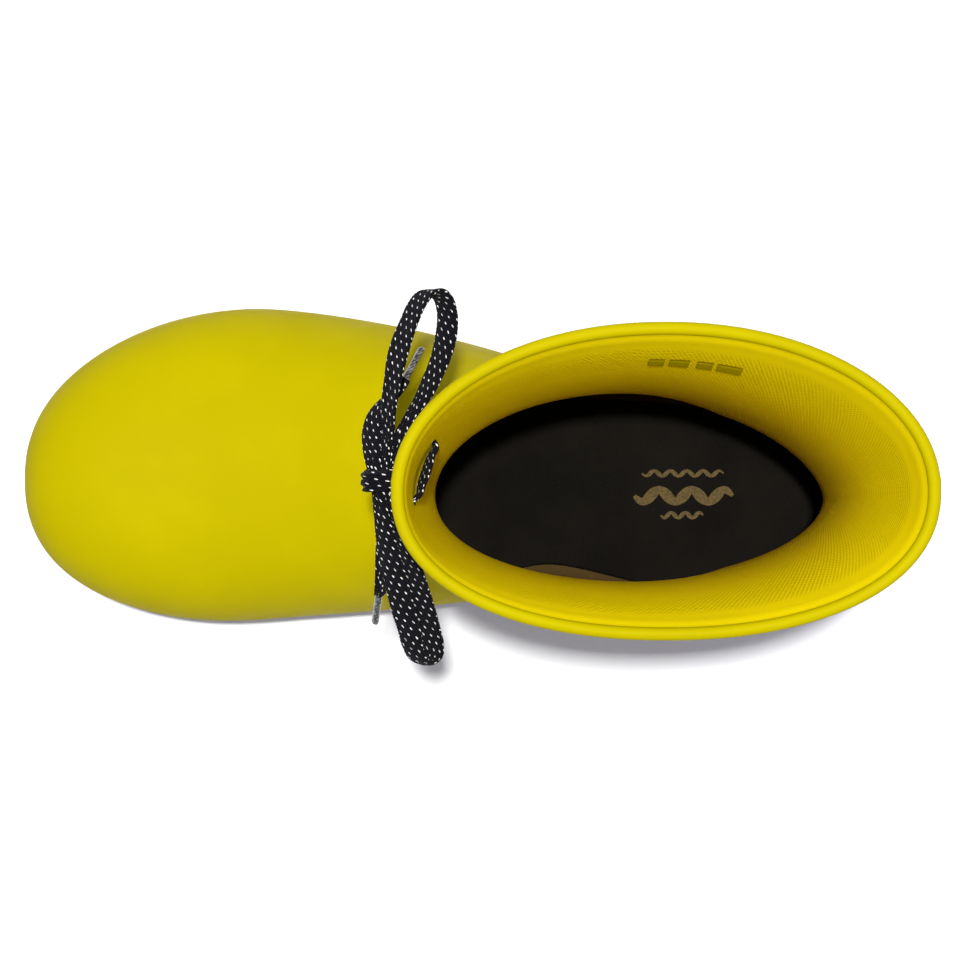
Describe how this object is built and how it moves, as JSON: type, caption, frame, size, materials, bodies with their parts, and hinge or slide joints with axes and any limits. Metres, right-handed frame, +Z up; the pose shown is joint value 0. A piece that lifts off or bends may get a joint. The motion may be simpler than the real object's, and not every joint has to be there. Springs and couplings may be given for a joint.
{
  "type": "deck boot",
  "caption": "Ankle-high slip-on moulded foam boot for the right foot, with a rolled rim, a removable footbed, siped rubber pads and a flat lace tied in a bow at the front.",
  "frame": {"origin": "centre of the boot's outline seen from above, without the free lace, on the ground", "axes": "+X towards the toe, +Y towards the inner side of the foot, +Z up"},
  "size_m": [0.2825, 0.1131, 0.195],
  "materials": {
    "yellow_foam": "matte closed-cell foam with a fine grain",
    "navy_rubber": "matte",
    "footbed_foam": "matte open foam",
    "footbed_cloth": "brushed knit",
    "navy_braid": "flat braid with light flecks",
    "clear_plastic": "clear, slightly cloudy"
  },
  "bodies": {
    "root": {"boot_shell": "yellow_foam", "outsole_heel": "navy_rubber", "outsole_forefoot": "navy_rubber", "insole_cushion": "footbed_foam", "insole_cover": "footbed_cloth", "lace_inside_run": "navy_braid", "lace_knot": "navy_braid", "lace_loop_outer_side": "navy_braid", "lace_loop_inner_side": "navy_braid", "lace_tail_outer_side": "navy_braid", "lace_tail_inner_side": "navy_braid", "aglet_outer_side": "clear_plastic", "aglet_inner_side": "clear_plastic"}
  },
  "joints": []
}
